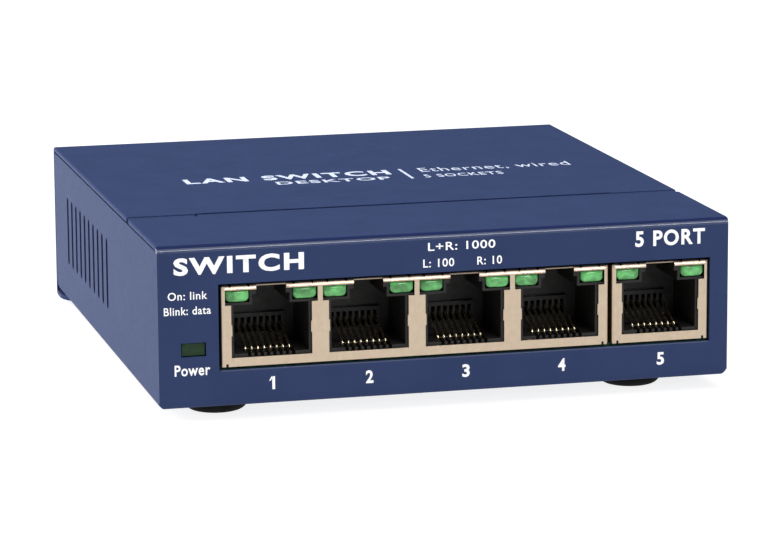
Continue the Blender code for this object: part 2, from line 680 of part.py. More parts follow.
def contact_places(x):
    return [x - CONTACT_HALF + i * CONTACT_PITCH for i in range(CONTACTS)]


def build_insert(name, centres, plastic):
    low = (centres[0] - INSERT_HALF, INSERT_FRONT, INSERT_BOTTOM)
    high = (centres[-1] + INSERT_HALF, INSERT_BACK, INSERT_TOP)
    insert = block(name, low, high, plastic)
    shaped(insert, "DIFFERENCE", [cut for x in centres for cut in cavity_cuts(x)])
    comb_front = CAVITY_BACK - COMB_BLOCK_REACH
    combs = []
    slots = []
    half = WIRE / 2 + COMB_SLOT_CLEARANCE
    lip_high = (INSERT_FRONT + TROUGH_FRONT + PART_GAP, JACK_BOTTOM + CAVITY_FLOOR + PART_GAP)
    for x in centres:
        low = (x - COMB_HALF - PART_GAP, comb_front, JACK_BOTTOM + TROUGH_FLOOR - PART_GAP)
        combs.append(box(low, (x + COMB_HALF + PART_GAP, CAVITY_BACK + PART_GAP, JACK_BOTTOM + COMB_TOP)))
        for contact in contact_places(x):
            low = (contact - half, comb_front - PART_GAP, JACK_BOTTOM + COMB_SLOT_BOTTOM)
            slots.append(box(low, (contact + half, comb_front + COMB_DEPTH, JACK_BOTTOM + COMB_SLOT_TOP)))
            low = (contact - LIP_SLOT_WIDTH / 2, INSERT_FRONT - OUT, JACK_BOTTOM + TROUGH_FLOOR)
            slots.append(box(low, (contact + LIP_SLOT_WIDTH / 2, *lip_high)))
    shaped(insert, "UNION", combs)
    return shaped(insert, "DIFFERENCE", slots)


def wire(x):
    """One contact: a short tail, the bend round the joint's axis, and the slope up to the comb."""
    y, z = WIRE_AXIS_Y, WIRE_AXIS_Z
    outer = WIRE_BEND + WIRE / 2
    inner = WIRE_BEND - WIRE / 2
    top = 90 + math.degrees(WIRE_SLOPE)
    length = (WIRE_REACH + WIRE_BEND * math.sin(WIRE_SLOPE)) / math.cos(WIRE_SLOPE)
    run = Vector((math.cos(WIRE_SLOPE), math.sin(WIRE_SLOPE))) * length
    outer_arc = arc((y, z), outer, 270, top, 5)
    inner_arc = arc((y, z), inner, top, 270, 5)
    outline = [(y + WIRE_TAIL, z - outer)] + outer_arc
    outline += [tuple(Vector(outer_arc[-1]) + run), tuple(Vector(inner_arc[0]) + run)]
    outline += inner_arc + [(y + WIRE_TAIL, z - inner)]
    return prism(outline, "X", x - WIRE / 2, x + WIRE / 2)


def build_contacts(gold):
    """Eight wires on the bar that holds them, once for each port. Each set's origin is on its joint."""
    first = PORT_X[0]
    ends = [(first + way * BAR_HALF, WIRE_AXIS_Y, WIRE_AXIS_Z) for way in (-1, 1)]
    bar = rod(CONTACT_BAR_RADIUS, *ends, 12)
    contacts = place("contact_springs_1", bar, gold, (first, WIRE_AXIS_Y, WIRE_AXIS_Z))
    shaped(contacts, "UNION", [wire(x) for x in contact_places(first)])
    smooth(settled(contacts))
    for number, x in enumerate(PORT_X[1:], 2):
        copied(contacts, f"contact_springs_{number}", (x, WIRE_AXIS_Y, WIRE_AXIS_Z))


def build_port_lights(green):
    """Two lenses over each socket, with rounded front edges."""
    front = JACK_FRONT + LIGHT_RECESS
    back = INSERT_FRONT + LIGHT_DEPTH - LIGHT_GAP
    low_z = JACK_BOTTOM + OPENING_SHOULDER + LIGHT_LEDGE + LIGHT_GAP
    high_z = JACK_BOTTOM + LIGHT_WINDOW_TOP - LIGHT_GAP
    for number, x in enumerate(PORT_X, 1):
        for side, way in (("left", -1), ("right", 1)):
            ends = sorted((x + way * (LIGHT_INNER + LIGHT_GAP), x + way * (LIGHT_OUTER - LIGHT_GAP)))
            low = (ends[0], front, low_z)
            high = (ends[1], back, high_z)
            shape = rounded(box(low, high), LIGHT_ROUND, 2, lambda co: co.y < front + LIGHT_GAP)
            smooth(place(f"port_light_{number}_{side}", shape, green, (Vector(low) + Vector(high)) / 2))


def build_power_light(green):
    """A block on the board whose front face looks out of the small window."""
    half = POWER_LIGHT_WIDTH / 2 - POWER_LIGHT_GAP
    front = FRONT + POWER_LIGHT_RECESS
    bottom = UNDERSIDE + POWER_LIGHT_BOTTOM
    low = (POWER_LIGHT_X - half, front, bottom + POWER_LIGHT_GAP)
    high = (POWER_LIGHT_X + half, front + POWER_LIGHT_DEPTH, bottom + POWER_LIGHT_HEIGHT - POWER_LIGHT_GAP)
    light = block("power_light", low, high, green)
    back = front + POWER_LIGHT_DEPTH
    leg_low = (POWER_LIGHT_X - half, back - POWER_LIGHT_LEG, BOARD_TOP + PART_GAP)
    leg_high = (POWER_LIGHT_X + half, back, bottom + POWER_LIGHT_HEIGHT / 2)
    return shaped(light, "UNION", [box(leg_low, leg_high)])


def build_power_jack(plastic, plating):
    """The DC inlet: a moulded body on the board, its nose in the back wall, and the pin in its bore."""
    x, z = POWER_JACK_X, POWER_JACK_Z
    nose_end = BACK - PART_GAP
    bore_end = nose_end - POWER_BORE_DEPTH
    pin_hole_end = bore_end - POWER_PIN_RADIUS
    low = (x - POWER_JACK_WIDTH / 2, POWER_JACK_FRONT, BOARD_TOP + PART_GAP)
    high = (x + POWER_JACK_WIDTH / 2, POWER_JACK_BACK, BOARD_TOP + PART_GAP + POWER_JACK_HEIGHT)
    jack = block("power_jack", low, high, plastic)
    shaped(jack, "UNION", [rod(POWER_NOSE_RADIUS, (x, POWER_JACK_BACK - OUT, z), (x, nose_end, z), 32)])
    bore = rod(POWER_BORE_RADIUS, (x, bore_end, z), (x, BACK + OUT, z), 32)
    hole = rod(POWER_PIN_RADIUS + POWER_PIN_CLEARANCE, (x, pin_hole_end, z), (x, BACK + OUT, z), 16)
    shaped(jack, "DIFFERENCE", [bore, hole])
    smooth(jack)
    start = pin_hole_end + POWER_PIN_CLEARANCE
    tip = nose_end - POWER_PIN_RECESS
    pin = rod(POWER_PIN_RADIUS, (x, start, z), (x, tip, z), 16)
    rounded(pin, POWER_PIN_RADIUS / 3, 2, lambda co: co.y > tip - OUT)
    smooth(place("power_jack_pin", pin, plating, (x, start, z)))


def on_board(name, x, y, size, finish, lift=0, round_by=0):
    """A block on the board, or on what lies lift above it, with its upper edges rounded if asked."""
    low = (x - size[0] / 2, y - size[1] / 2, BOARD_TOP + PART_GAP + lift)
    high = (x + size[0] / 2, y + size[1] / 2, BOARD_TOP + PART_GAP + lift + size[2])
    shape = box(low, high)
    if round_by:
        rounded(shape, round_by, 2, lambda co: co.z > (low[2] + high[2]) / 2)
    return place(name, shape, finish, (x, y, low[2]))


def build_heat_sink(x, y, lift, aluminium):
    """A base with upright fins, on the chip's pad."""
    low = BOARD_TOP + PART_GAP + lift
    step = (SINK_SIZE - SINK_FIN_WIDTH) / (SINK_FINS - 1)
    left = x - SINK_SIZE / 2
    outline = [(left, low), (left + SINK_SIZE, low)]
    for number in reversed(range(SINK_FINS)):
        start = left + number * step
        end = start + SINK_FIN_WIDTH
        if number < SINK_FINS - 1:
            outline.append((end, low + SINK_BASE))
        outline += [(end, low + SINK_HEIGHT), (start, low + SINK_HEIGHT)]
        if number:
            outline.append((start, low + SINK_BASE))
    fins = prism(outline, "Y", y - SINK_SIZE / 2, y + SINK_SIZE / 2)
    return place("heat_sink", fins, aluminium, (x, y, low))


def build_board_parts(black, aluminium, grey):
    y = TRANSFORMER_FRONT + TRANSFORMER_DEPTH / 2
    size = (PORT_PITCH - TRANSFORMER_GAP, TRANSFORMER_DEPTH, TRANSFORMER_HEIGHT)
    for number, x in enumerate(PORT_X, 1):
        on_board(f"line_transformer_{number}", x, y, size, black, round_by=PART_GAP * 3)
    pad_lift = CHIP_HEIGHT + PART_GAP
    sink_lift = pad_lift + PAD_HEIGHT + PART_GAP
    on_board("switch_chip", 0, CHIP_Y, (CHIP_SIZE, CHIP_SIZE, CHIP_HEIGHT), black)
    on_board("thermal_pad", 0, CHIP_Y, (PAD_SIZE, PAD_SIZE, PAD_HEIGHT), grey, lift=pad_lift)
    build_heat_sink(0, CHIP_Y, sink_lift, aluminium)
    beside = SINK_SIZE / 2 + CRYSTAL_LENGTH
    size = (CRYSTAL_LENGTH, CRYSTAL_WIDTH, CRYSTAL_HEIGHT)
    on_board("crystal", beside, CHIP_Y, size, aluminium, round_by=CRYSTAL_WIDTH / 5)
    base = BOARD_TOP + PART_GAP
    for number, x in enumerate((-CAPACITOR_SPACING * 3, -CAPACITOR_SPACING * 2), 1):
        top = base + CAPACITOR_HEIGHT
        can = rod(CAPACITOR_RADIUS, (x, REAR_PARTS_Y, base), (x, REAR_PARTS_Y, top), 20)
        rounded(can, CAPACITOR_ROUND, 2, lambda co: co.z > top - OUT)
        smooth(place(f"filter_capacitor_{number}", can, aluminium, (x, REAR_PARTS_Y, base)))
    size = (INDUCTOR_SIZE, INDUCTOR_SIZE, INDUCTOR_HEIGHT)
    on_board("inductor", -CAPACITOR_SPACING, REAR_PARTS_Y, size, black, round_by=INDUCTOR_SIZE / 7)
    size = (REGULATOR_WIDTH, REGULATOR_DEPTH, REGULATOR_HEIGHT)
    on_board("voltage_regulator", 0, REAR_PARTS_Y, size, black, round_by=PART_GAP * 2)


for existing in list(bpy.data.objects):
    bpy.data.objects.remove(existing, do_unlink=True)

blue_paint = material("blue_paint", (0.043, 0.064, 0.147), 0.0, 0.38)
nickel = material("nickel_plate", (0.62, 0.52, 0.42), 0.9, 0.32)
black_plastic = material("black_plastic", (0.012, 0.011, 0.011), 0.0, 0.45)
gold_plate = material("gold_plate", (0.86, 0.62, 0.25), 1.0, 0.2)
green_lens = material("green_lens", (0.07, 0.36, 0.10), 0.0, 0.2)
dark_lens = material("dark_green_lens", (0.03, 0.07, 0.03), 0.0, 0.25)
rubber = material("rubber", (0.02, 0.018, 0.016), 0.0, 0.7)
steel = material("zinc_steel", (0.55, 0.55, 0.53), 1.0, 0.35)
board_green = material("board_green", (0.02, 0.13, 0.06), 0.0, 0.4)
cast_black = material("moulded_black", (0.02, 0.02, 0.022), 0.0, 0.5)
bright_aluminium = material("aluminium", (0.72, 0.73, 0.74), 1.0, 0.35)
pad_grey = material("pad_grey", (0.35, 0.36, 0.37), 0.0, 0.8)

screw_x = RIGHT - BOARD_SCREW_SIDE_INSET
screw_rows = (SCREW_FRONT_Y, BACK - BOARD_SCREW_REAR_INSET)
board_screw_places = [(x, y) for y in screw_rows for x in (-screw_x, screw_x)]
cover_screw_y = BACK - RETURN_DEPTH / 2
cover_screw_places = [(-COVER_SCREW_SPACING / 2, cover_screw_y), (COVER_SCREW_SPACING / 2, cover_screw_y)]

build_chassis(blue_paint, board_screw_places, cover_screw_places)
build_cover(blue_paint, cover_screw_places)
for end, y in (("front", FRONT + FOOT_END_INSET), ("back", BACK - RETURN_DEPTH - FOOT_END_INSET)):
    build_foot(f"foot_{end}_left", LEFT + FOOT_LEFT_INSET, y, rubber)
    build_foot(f"foot_{end}_right", RIGHT - FOOT_RIGHT_INSET, y, rubber)

build_board(board_green, board_screw_places)
first = board_screw_places[0]
shank_end = UNDERSIDE + SHEET + PART_GAP
board_screw = build_screw("board_screw_1", (*first, BOARD_TOP), SCREW_HEAD_HEIGHT, shank_end, steel)
for number, (x, y) in enumerate(board_screw_places[1:], 2):
    copied(board_screw, f"board_screw_{number}", (x, y, BOARD_TOP))
first = cover_screw_places[0]
shank_end = UNDERSIDE + SHEET + BOARD_GAP / 2
cover_screw = build_screw("cover_screw_left", (*first, COVER_BOTTOM), FLAT_HEAD_HEIGHT, shank_end, steel)
copied(cover_screw, "cover_screw_right", (*cover_screw_places[1], COVER_BOTTOM))

build_shield("jack_shield_1_to_4", GANG_X, nickel)
build_shield("jack_shield_5", SINGLE_X, nickel)
build_insert("jack_housing_1_to_4", GANG_X, black_plastic)
build_insert("jack_housing_5", SINGLE_X, black_plastic)
build_contacts(gold_plate)
build_port_lights(green_lens)
build_power_light(dark_lens)
build_power_jack(black_plastic, nickel)
build_board_parts(cast_black, bright_aluminium, pad_grey)
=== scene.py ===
"""Looks of a small desktop network switch: a painted folded steel case with a row of shielded sockets."""

import json
import math

import bmesh
import bpy
from mathutils import Matrix, Vector


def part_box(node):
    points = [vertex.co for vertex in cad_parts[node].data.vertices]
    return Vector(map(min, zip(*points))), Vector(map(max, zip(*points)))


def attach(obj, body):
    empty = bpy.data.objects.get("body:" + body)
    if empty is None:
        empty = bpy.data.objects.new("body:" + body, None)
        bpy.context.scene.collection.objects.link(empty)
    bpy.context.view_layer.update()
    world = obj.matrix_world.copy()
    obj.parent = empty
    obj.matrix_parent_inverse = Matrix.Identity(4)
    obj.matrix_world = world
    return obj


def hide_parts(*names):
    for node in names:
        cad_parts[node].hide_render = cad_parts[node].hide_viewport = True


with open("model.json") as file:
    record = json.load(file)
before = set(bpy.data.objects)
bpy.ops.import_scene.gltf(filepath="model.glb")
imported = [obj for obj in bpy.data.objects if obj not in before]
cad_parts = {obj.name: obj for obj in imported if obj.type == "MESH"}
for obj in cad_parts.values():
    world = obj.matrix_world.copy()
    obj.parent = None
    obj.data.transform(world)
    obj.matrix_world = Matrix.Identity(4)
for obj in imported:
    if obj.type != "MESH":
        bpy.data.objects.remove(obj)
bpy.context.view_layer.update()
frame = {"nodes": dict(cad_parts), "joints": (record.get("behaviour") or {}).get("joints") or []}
nodes = frame["nodes"]


# ---- Studio ------------------------------------------------------------------------------------
# A white light table under a broad overhead panel, with a bright strip and a soft box in front, and
# a soft box at the left. The camera stands low and to the left of the sockets, with a long lens.

MM = 0.001
VIEW_PLACE = Vector((-149.7, -605.7, 136.35)) * MM
VIEW_HEADING = math.radians(14.16)
VIEW_DROP = math.radians(11.19)
VIEW_ROLL = math.radians(-0.365)
VIEW_LENS = 170.3
VIEW_SENSOR = 36

camera = bpy.data.objects.new("camera", bpy.data.cameras.new("camera"))
bpy.context.scene.collection.objects.link(camera)
camera.matrix_world = (
    Matrix.Translation(VIEW_PLACE)
    @ Matrix.Rotation(-VIEW_HEADING, 4, "Z")
    @ Matrix.Rotation(math.pi / 2 - VIEW_DROP, 4, "X")
    @ Matrix.Rotation(VIEW_ROLL, 4, "Z")
)
camera.data.lens = VIEW_LENS
camera.data.sensor_width = VIEW_SENSOR
bpy.context.scene.camera = camera
bpy.context.scene.view_settings.view_transform = "Standard"

WORLD_COLOUR = (0.93, 0.96, 1.0)
WORLD_STRENGTH = 0.12

world = bpy.data.worlds.new("studio")
world.use_nodes = True
world.node_tree.nodes["Background"].inputs["Color"].default_value = (*WORLD_COLOUR, 1)
world.node_tree.nodes["Background"].inputs["Strength"].default_value = WORLD_STRENGTH
bpy.context.scene.world = world


def panel(name, place, aim, width, height, power):
    """A rectangular soft light that faces a point."""
    light = bpy.data.lights.new(name, "AREA")
    light.shape = "RECTANGLE"
    light.size = width
    light.size_y = height
    light.energy = power
    turn = (Vector(aim) - Vector(place)).to_track_quat("-Z", "Y")
    stand = bpy.data.objects.new(name, light)
    stand.matrix_world = Matrix.Translation(place) @ turn.to_matrix().to_4x4()
    bpy.context.scene.collection.objects.link(stand)


LIGHT_AIM = (0, 0, 0.02)

panel("overhead", (0, 0.2, 1.5), (0, 0.2, 0), width=2.4, height=2.4, power=29)
panel("front_strip", (0.25, -0.92, 0.40), LIGHT_AIM, width=0.5, height=0.04, power=3.2)
panel("front_box", (0.27, -0.75, 0.95), LIGHT_AIM, width=0.8, height=0.8, power=3.8)
panel("left_box", (-0.75, 0.28, 0.35), LIGHT_AIM, width=0.7, height=0.5, power=10.8)


def surface(name, colour, metallic, roughness):
    """A new material, and its shader."""
    made = bpy.data.materials.new(name)
    made.use_nodes = True
    shader = made.node_tree.nodes["Principled BSDF"]
    shader.inputs["Base Color"].default_value = (*colour, 1)
    shader.inputs["Metallic"].default_value = metallic
    shader.inputs["Roughness"].default_value = roughness
    return made, shader


def noise(made, feature, stretch=(1, 1, 1), detail=3):
    """A noise with features of about that size, in metres, longer along the axes with a small stretch."""
    tree = made.node_tree
    place = tree.nodes.new("ShaderNodeTexCoord")
    turn = tree.nodes.new("ShaderNodeMapping")
    turn.inputs["Scale"].default_value = stretch
    texture = tree.nodes.new("ShaderNodeTexNoise")
    texture.inputs["Scale"].default_value = 1 / feature
    texture.inputs["Detail"].default_value = detail
    tree.links.new(place.outputs["Object"], turn.inputs["Vector"])
    tree.links.new(turn.outputs["Vector"], texture.inputs["Vector"])
    return texture.outputs["Fac"]


NOISE_MIDDLE = (0.3, 0.7)


def spread(made, source, low, high):
    """The noise's middle range, spread from low to high."""
    node = made.node_tree.nodes.new("ShaderNodeMapRange")
    node.inputs["From Min"].default_value = NOISE_MIDDLE[0]
    node.inputs["From Max"].default_value = NOISE_MIDDLE[1]
    node.inputs["To Min"].default_value = low
    node.inputs["To Max"].default_value = high
    made.node_tree.links.new(source, node.inputs["Value"])
    return node.outputs["Result"]


def tinted(made, shader, source, first, second):
    """Base colour that goes from the first colour to the second with the pattern."""
    mix = made.node_tree.nodes.new("ShaderNodeMix")
    mix.data_type = "RGBA"
    mix.inputs["A"].default_value = (*first, 1)
    mix.inputs["B"].default_value = (*second, 1)
    made.node_tree.links.new(spread(made, source, 0, 1), mix.inputs["Factor"])
    made.node_tree.links.new(mix.outputs["Result"], shader.inputs["Base Color"])


def mottled(made, shader, source, low, high):
    """Roughness that varies with the pattern."""
    made.node_tree.links.new(spread(made, source, low, high), shader.inputs["Roughness"])


def raised(made, shader, source, depth):
    """Relief of that depth, in metres."""
    node = made.node_tree.nodes.new("ShaderNodeBump")
    node.inputs["Distance"].default_value = depth
    made.node_tree.links.new(source, node.inputs["Height"])
    made.node_tree.links.new(node.outputs["Normal"], shader.inputs["Normal"])


def shade(colour, by):
    return tuple(channel * by for channel in colour)


FLOOR_HALF = 4.0
FLOOR_COLOUR = (0.22, 0.22, 0.22)
FLOOR_GLOW = 0.84
FLOOR_GRAIN = 0.05

floor_finish, floor_shader = surface("table_top", FLOOR_COLOUR, metallic=0, roughness=0.8)
floor_shader.inputs["Emission Color"].default_value = (1, 1, 1, 1)
floor_shader.inputs["Emission Strength"].default_value = FLOOR_GLOW
floor_grain = noise(floor_finish, FLOOR_GRAIN)
tinted(floor_finish, floor_shader, floor_grain, FLOOR_COLOUR, shade(FLOOR_COLOUR, 0.99))
floor_shape = bmesh.new()
bmesh.ops.create_grid(floor_shape, x_segments=1, y_segments=1, size=FLOOR_HALF)
floor_mesh = bpy.data.meshes.new("table_top")
floor_shape.to_mesh(floor_mesh)
floor_shape.free()
floor_mesh.materials.append(floor_finish)
floor = bpy.data.objects.new("table_top", floor_mesh)
bpy.context.scene.collection.objects.link(floor)


# ---- Painted case ------------------------------------------------------------------------------
# Two folded steel sheets: a tray with the front panel and the front strip of the top, and a cover
# with the lid and the back wall. Both are powder coated a dusty blue, after cutting and folding. The
# coat flows out glossy on the front fold and the window's lower rim. Painted shade darkens the upper
# part of the front fold and the paint along the joint of strip and lid.

PAINT = (0.0307, 0.0461, 0.1124)
PAINT_ROUGHNESS = 0.36
PAINT_IOR = 1.06
GLOSS_ROUGHNESS = 0.2
PAINT_GRAIN = 0.45 * MM
PAINT_RELIEF = 0.010 * MM
CUT_EDGE = 0.12 * MM
SAME_PLACE = 0.001 * MM
FLAT_WITHIN = math.radians(0.5)
EDGE_OVER = math.radians(35)

# Down from the top: where the front fold starts, and where its glossy part and its band of painted shade
# end
FOLD = 1.1 * MM
FOLD_GLOSS_END = 0.52 * MM
FOLD_PAINTED_SHADE_END = 0.12 * MM
# The fold's painted shade: its colour is multiplied by this, standing for a dark reflection in the fold
FOLD_PAINTED_SHADE = (0.45, 0.5, 0.7)

# Up from the underside to the window's lower rim, and how wide the rim is
WINDOW_LOW = 5.9 * MM
WINDOW_RIM = 0.16 * MM

# The joint of strip and lid, back from the front panel and in from each side
SHEET = 0.8 * MM
STRIP_DEPTH = 26.4 * MM
STRIP_END = 11.5 * MM
STRIP_SET_BACK = 0.5 * MM
JOINT_BEFORE = 0.7 * MM
JOINT_BEHIND = 0.6 * MM
JOINT_DEEP = 1 * MM
# Painted shade along the joint: the paint's colour is multiplied by this, standing for the shade in the gap
JOINT_PAINTED_SHADE = (0.4, 0.45, 0.6)
ZONE_SOFT = 0.06 * MM

case_low, case_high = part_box("chassis")
left = case_low.x
front = case_low.y
underside = case_low.z
lid_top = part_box("top_cover")[1].z
strip_back = front + STRIP_DEPTH

paint, paint_shader = surface("dusty_blue_powder_coat", PAINT, metallic=0, roughness=PAINT_ROUGHNESS)
paint_shader.inputs["IOR"].default_value = PAINT_IOR
paint_shader.inputs["Coat Roughness"].default_value = GLOSS_ROUGHNESS
tinted(paint, paint_shader, noise(paint, 6 * MM, detail=6), shade(PAINT, 0.96), shade(PAINT, 1.05))
mottled(paint, paint_shader, noise(paint, 0.8 * MM), 0.33, 0.39)
raised(paint, paint_shader, noise(paint, PAINT_GRAIN), PAINT_RELIEF)


def combined(made, operation, first, second):
    node = made.node_tree.nodes.new("ShaderNodeMath")
    node.operation = operation
    made.node_tree.links.new(first, node.inputs[0])
    made.node_tree.links.new(second, node.inputs[1])
    return node.outputs["Value"]


def zone(made, *spans):
    """1 inside a box with a low and a high limit along X, Y and Z, that fades to 0 just outside it."""
    tree = made.node_tree
    place = tree.nodes.new("ShaderNodeTexCoord")
    axes = tree.nodes.new("ShaderNodeSeparateXYZ")
    tree.links.new(place.outputs["Object"], axes.inputs["Vector"])
    share = None
    for axis, limits in zip("XYZ", spans):
        for limit, way in zip(limits, (-1, 1)):
            step = tree.nodes.new("ShaderNodeMapRange")
            step.interpolation_type = "SMOOTHSTEP"
            step.inputs["From Min"].default_value = limit + way * ZONE_SOFT
            step.inputs["From Max"].default_value = limit
            tree.links.new(axes.outputs[axis], step.inputs["Value"])
            inside = step.outputs["Result"]
            share = combined(made, "MULTIPLY", share, inside) if share else inside
    return share


def darker(made, shader, share, by):
    """Paints shade: multiplies the base colour by another where the share is 1."""
    base = shader.inputs["Base Color"]
    mix = made.node_tree.nodes.new("ShaderNodeMix")
    mix.data_type = "RGBA"
    mix.blend_type = "MULTIPLY"
    mix.inputs["B"].default_value = (*by, 1)
    made.node_tree.links.new(share, mix.inputs["Factor"])
    made.node_tree.links.new(base.links[0].from_socket, mix.inputs["A"])
    made.node_tree.links.new(mix.outputs["Result"], base)


full_width = (case_low.x, case_high.x)
fold_depth = (front, front + FOLD)
fold_gloss = zone(paint, full_width, fold_depth, (lid_top - FOLD, lid_top - FOLD_GLOSS_END))
# A band of painted shade on the upper part of the front fold
fold_painted_shade = zone(paint, full_width, fold_depth, (lid_top - FOLD_GLOSS_END, lid_top - FOLD_PAINTED_SHADE_END))

window_low = underside + WINDOW_LOW
window_width = (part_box("jack_shield_1_to_4")[0].x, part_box("jack_shield_5")[1].x)
rim_gloss = zone(paint, window_width, (front, front + WINDOW_RIM), (window_low - WINDOW_RIM, window_low))

joint_width = (case_low.x + STRIP_END, case_high.x - STRIP_END)
joint_depth = (strip_back - JOINT_BEFORE, strip_back + JOINT_BEHIND)
# Painted shade on the paint along the joint of strip and lid
joint_painted_shade = zone(paint, joint_width, joint_depth, (lid_top - JOINT_DEEP, lid_top))

gloss = combined(paint, "MAXIMUM", fold_gloss, rim_gloss)
paint.node_tree.links.new(gloss, paint_shader.inputs["Coat Weight"])
darker(paint, paint_shader, fold_painted_shade, FOLD_PAINTED_SHADE)
darker(paint, paint_shader, joint_painted_shade, JOINT_PAINTED_SHADE)


def shown(name, shape, finish, body="case"):
    """Makes a piece from a finished shape. It rides on a body, and the shape is used up."""
    mesh = bpy.data.meshes.new(name)
    shape.to_mesh(mesh)
    shape.free()
    mesh.materials.append(finish)
    mesh.shade_smooth()
    piece = bpy.data.objects.new(name, mesh)
    bpy.context.scene.collection.objects.link(piece)
    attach(piece, body)
    return piece


def eased(piece, width, segments=2):
    """Rounds the piece's sharp edges a little, and keeps its flat faces flat."""
    edge = piece.modifiers.new("eased edges", "BEVEL")
    edge.width = width
    edge.segments = segments
    edge.limit_method = "ANGLE"
    edge.angle_limit = EDGE_OVER
    piece.modifiers.new("flat faces", "WEIGHTED_NORMAL")
    return piece


def refined(node, name, finish, width, moved=None, travel=(0, 0, 0)):
    """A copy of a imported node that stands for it, with its flat faces joined and its edges eased.

    moved picks the corners that are shifted by travel first.
    """
    shape = bmesh.new()
    shape.from_mesh(nodes[node].data)
    bmesh.ops.remove_doubles(shape, verts=shape.verts, dist=SAME_PLACE)
    bmesh.ops.dissolve_limit(shape, angle_limit=FLAT_WITHIN, verts=shape.verts, edges=shape.edges)
    if moved:
        bmesh.ops.translate(shape, verts=[vertex for vertex in shape.verts if moved(vertex.co)], vec=travel)
    piece = eased(shown(name, shape, finish), width)
    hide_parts(node)
    return piece


def on_strip_edge(co):
    """Whether a corner is on the strip's back edge, between its two ends."""
    across = joint_width[0] - SAME_PLACE < co.x < joint_width[1] + SAME_PLACE
    return across and abs(co.y - strip_back) < SAME_PLACE and co.z > lid_top - SHEET - SAME_PLACE


refined("chassis", "case_tray", paint, CUT_EDGE, on_strip_edge, (0, -STRIP_SET_BACK, 0))
refined("top_cover", "case_cover", paint, CUT_EDGE)


# ---- Printing ----------------------------------------------------------------------------------
# Ink, screen printed on the paint in a layer that just stands proud of it: white on the front, with
# the socket numbers, what the lights mean and a plain label, and a pale blue label on the lid.

INK_THICKNESS = 0.015 * MM
INK_SINK = 0.005 * MM
LETTER_HALF = 0.5
LETTER_STEPS = 4

ink, ink_shader = surface("white_ink", (0.95, 0.95, 0.95), metallic=0, roughness=0.45)
tinted(ink, ink_shader, noise(ink, 0.5 * MM), (0.90, 0.90, 0.91), (0.97, 0.97, 0.97))
mottled(ink, ink_shader, noise(ink, 0.3 * MM), 0.38, 0.5)

lid_ink, lid_ink_shader = surface("pale_blue_ink", (0.62, 0.68, 0.82), metallic=0, roughness=0.5)
tinted(lid_ink, lid_ink_shader, noise(lid_ink, 0.5 * MM), (0.56, 0.62, 0.78), (0.66, 0.72, 0.84))


def words_mesh(words, bold, spacing):
    """The letters as a thin closed mesh, in a unit size."""
    curve = bpy.data.curves.new("letters", "FONT")
    curve.body = words
    curve.offset = bold
    curve.space_character = spacing
    curve.extrude = LETTER_HALF
    curve.resolution_u = LETTER_STEPS
    holder = bpy.data.objects.new("letters", curve)
    bpy.context.scene.collection.objects.link(holder)
    bpy.context.view_layer.update()
    mesh = bpy.data.meshes.new_from_object(holder.evaluated_get(bpy.context.evaluated_depsgraph_get()))
    bpy.data.objects.remove(holder)
    return mesh


def add_words(shape, words, across, up, stand, bold=0.02, spacing=1.1):
    """Letters that fill a stretch across and a stretch up, in millimetres from the front left corner.

    stand turns letters that lie in the XY plane into the plane that they are printed on.
    """
    mesh = words_mesh(words, bold, spacing)
    corners = [vertex.co for vertex in mesh.vertices]
    low = Vector(min(co[axis] for co in corners) for axis in range(3))
    high = Vector(max(co[axis] for co in corners) for axis in range(3))
    wide = (across[1] - across[0]) * MM / (high.x - low.x)
    tall = (up[1] - up[0]) * MM / (high.y - low.y)
    mesh.transform(
        stand
        @ Matrix.Translation((across[0] * MM, up[0] * MM, 0))
        @ Matrix.Diagonal((wide, tall, INK_THICKNESS, 1))
        @ Matrix.Translation((-low.x, -low.y, LETTER_HALF - INK_SINK / INK_THICKNESS))
    )
    shape.from_mesh(mesh)
    bpy.data.meshes.remove(mesh)


NUMBER_MIDDLES = (34.0, 49.9, 65.9, 82.6)
NUMBER_HALF = 0.62
NUMBER_UP = (2.4, 4.5)

on_front = Matrix.Translation((left, front, underside)) @ Matrix.Rotation(math.pi / 2, 4, "X")
front_shape = bmesh.new()
for number, middle in enumerate(NUMBER_MIDDLES, 2):
    across = (middle - NUMBER_HALF, middle + NUMBER_HALF)
    add_words(front_shape, str(number), across, NUMBER_UP, on_front, bold=0.03)
add_words(front_shape, "1", (18.15, 18.6), NUMBER_UP, on_front, bold=0)
add_words(front_shape, "/", (17.65, 18.3), (3.8, 4.5), on_front, bold=0.03)
add_words(front_shape, "SWITCH", (2.6, 23.5), (21.45, 24.25), on_front, bold=0.04, spacing=1.2)
add_words(front_shape, "5 PORT", (78.2, 90.0), (22.05, 24.65), on_front, bold=0.03, spacing=1.15)
add_words(front_shape, "On: link", (1.6, 7.9), (17.55, 18.85), on_front, bold=0.012)
add_words(front_shape, "Blink: data", (0.95, 8.45), (15.15, 16.45), on_front, bold=0.012)
add_words(front_shape, "Power", (2.5, 8.2), (5.35, 7.15), on_front, bold=0.02)
add_words(front_shape, "L+R: 1000", (43.7, 54.8), (23.25, 24.6), on_front, bold=0.012)
add_words(front_shape, "L: 100", (42.9, 48.0), (20.6, 21.95), on_front, bold=0.012)
add_words(front_shape, "R: 10", (51.8, 55.9), (20.6, 21.95), on_front, bold=0.012)
shown("front_print", front_shape, ink)

